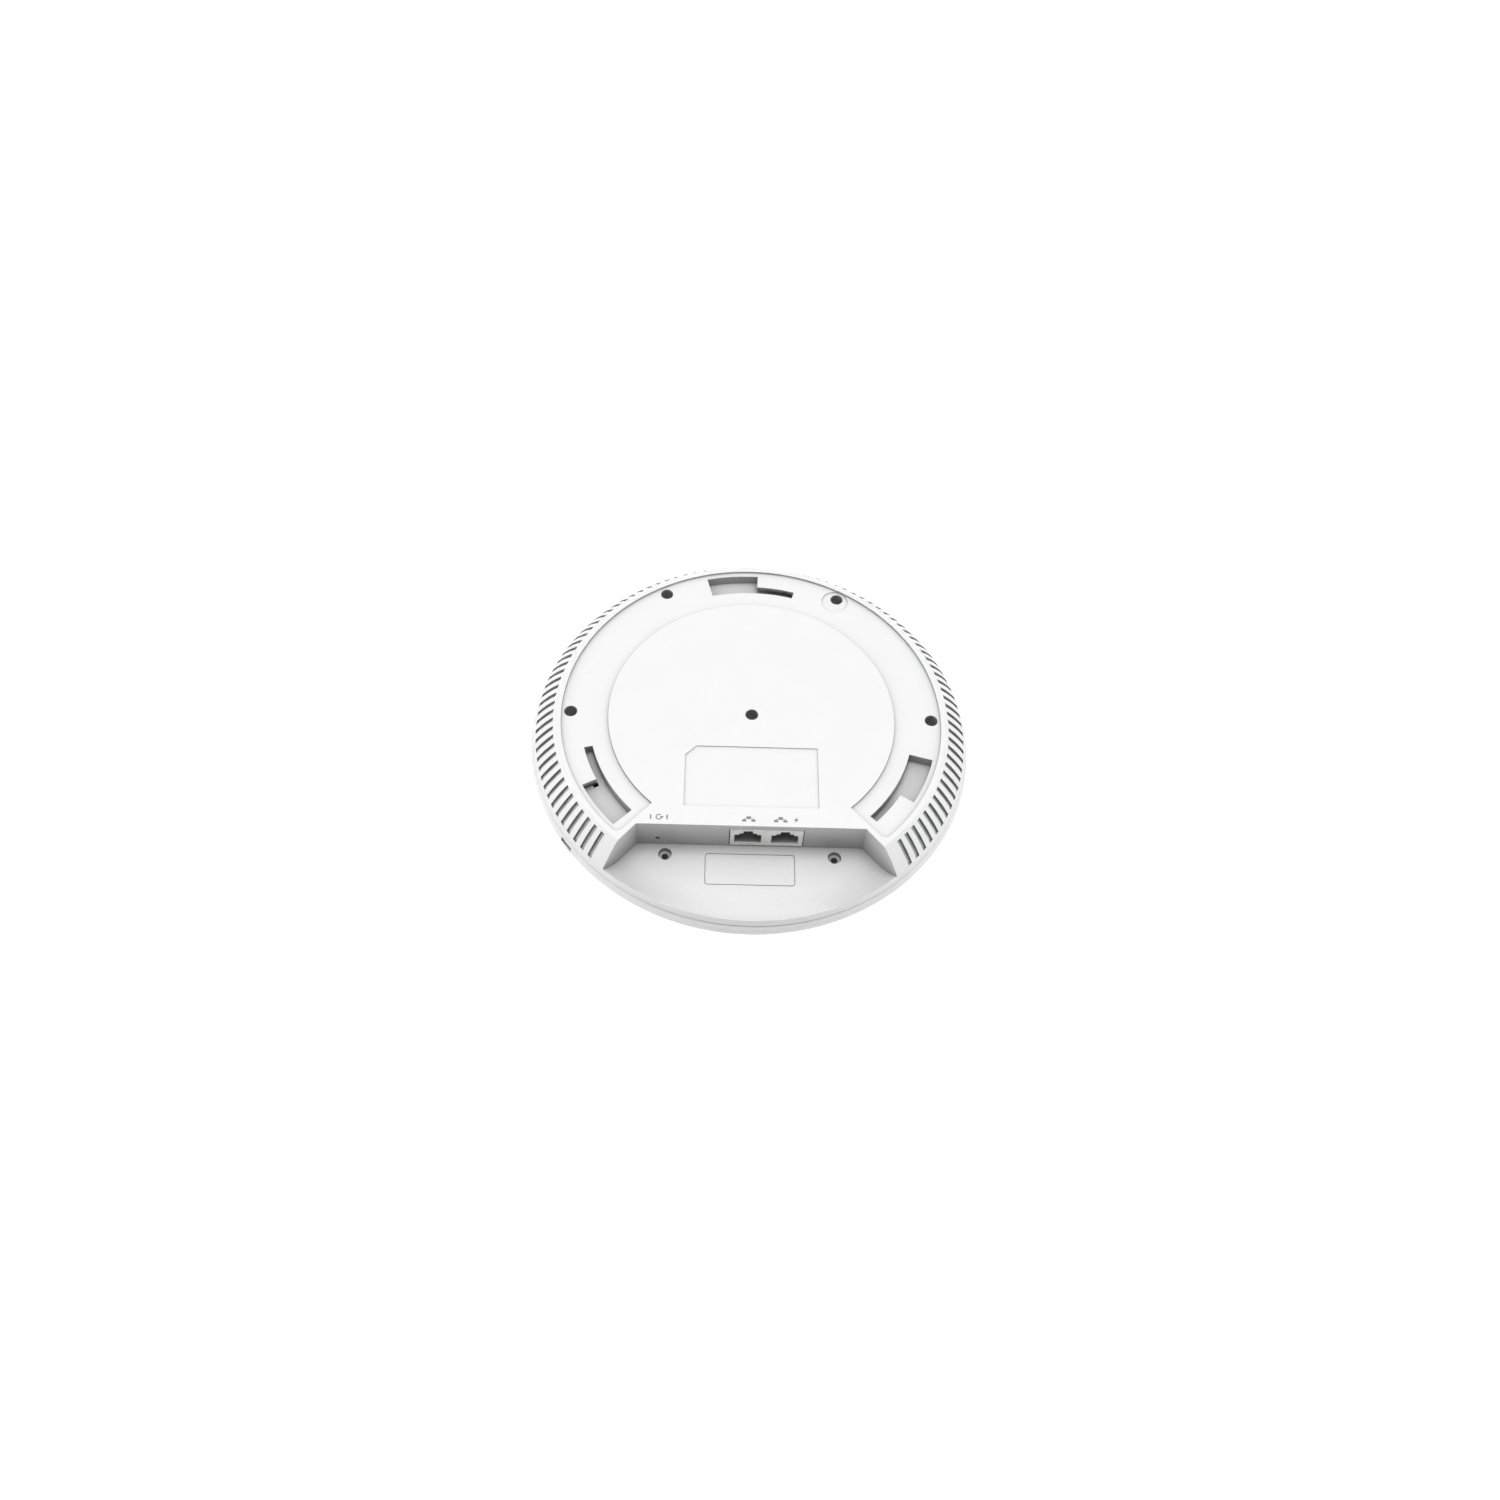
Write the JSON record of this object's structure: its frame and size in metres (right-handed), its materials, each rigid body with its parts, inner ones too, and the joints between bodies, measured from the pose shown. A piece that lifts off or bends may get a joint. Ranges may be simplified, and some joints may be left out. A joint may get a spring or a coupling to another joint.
{
  "type": "ceiling access point",
  "caption": "Round white ceiling access point with a slatted skirt, bracket key slots and a recessed cable bay holding paired network ports.",
  "frame": {"origin": "centre of the rear face, on the plane that lies against the ceiling bracket", "axes": "+Z out of the rear face towards the ceiling, with the body hanging below the origin; the cable bay opens towards -Y; +X to the right when the rear face is seen with the bay at the bottom"},
  "size_m": [0.205, 0.205, 0.042],
  "materials": {
    "shell_plastic": "satin moulded plastic with a very fine texture",
    "light_plastic": "frosted clear plastic",
    "board_green": "satin solder mask",
    "spreader_metal": "pressed sheet",
    "pad_silicone": "soft",
    "shield_tin": "tin plated",
    "chip_black": "matte",
    "passives": "matte",
    "port_metal": "nickel plated",
    "port_plastic": "matte",
    "contact_gold": "plated",
    "transformer_black": "satin",
    "transformer_yellow": "taped winding",
    "capacitor_can": "satin sleeve",
    "switch_black": "satin",
    "spring_steel": "bright",
    "led_white": "moulded lens",
    "antenna_metal": "stamped sheet",
    "lead_black": "satin jacket",
    "clip_nylon": "satin",
    "screw_steel": "zinc plated"
  },
  "bodies": {
    "housing": {"rear_housing": "shell_plastic", "front_cover": "shell_plastic", "light_pipe": "light_plastic", "centre_disc": "shell_plastic", "main_board": "board_green", "heat_spreader": "spreader_metal", "thermal_pads": "pad_silicone", "processor_shield": "shield_tin", "radio_shield_left": "shield_tin", "radio_shield_right": "shield_tin", "processor_chip": "chip_black", "memory_chips": "chip_black", "radio_chips": "chip_black", "small_components": "passives", "port_shell": "port_metal", "port_inserts": "port_plastic", "port_contacts": "contact_gold", "network_transformers": "transformer_black", "power_transformer": "transformer_yellow", "power_inductors": "transformer_black", "capacitors": "capacitor_can", "power_chips": "chip_black", "reset_switch": "switch_black", "reset_dome": "spring_steel", "status_leds": "led_white", "antenna_1": "antenna_metal", "antenna_2": "antenna_metal", "antenna_3": "antenna_metal", "antenna_4": "antenna_metal", "antenna_cable_1": "lead_black", "antenna_cable_2": "lead_black", "antenna_cable_3": "lead_black", "antenna_cable_4": "lead_black", "cable_sockets": "contact_gold", "cable_plugs": "spring_steel", "cable_clips": "clip_nylon", "rear_screws": "screw_steel", "board_screws": "screw_steel", "antenna_screws": "screw_steel"},
    "reset_button": {"reset_plunger": "switch_black"}
  },
  "joints": [
    {"name": "reset_press", "type": "slide", "parent": "housing", "child": "reset_button", "axis": [0, 1, 0], "range_m": [0, 0.00025], "stiffness_N_per_m": 1000}
  ]
}
